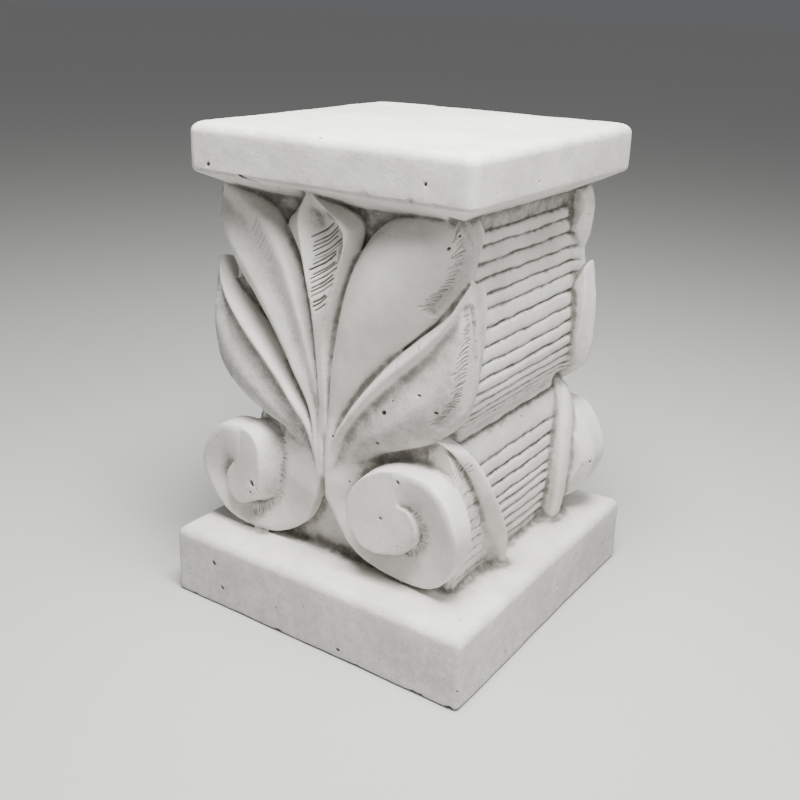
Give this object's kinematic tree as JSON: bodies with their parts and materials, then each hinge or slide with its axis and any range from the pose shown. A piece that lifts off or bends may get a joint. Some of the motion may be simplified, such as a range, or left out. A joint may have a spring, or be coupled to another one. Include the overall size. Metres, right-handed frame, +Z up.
{
  "type": "pedestal",
  "caption": "Square cast concrete pedestal, base and top slab, carved front and back with a palmette over paired scrolls, ribbed flanks with a waist.",
  "frame": {"origin": "middle of the underside of the base slab", "axes": "+Z up; the palmette front looks along -Y and the back along +Y; the ribbed flanks look along +X and -X"},
  "size_m": [0.3, 0.3, 0.42],
  "materials": {
    "cast_concrete": "dry, matt, off-white cast concrete with grey grime in the recesses and small pinholes"
  },
  "bodies": {
    "root": {"pedestal": "cast_concrete"}
  },
  "joints": []
}
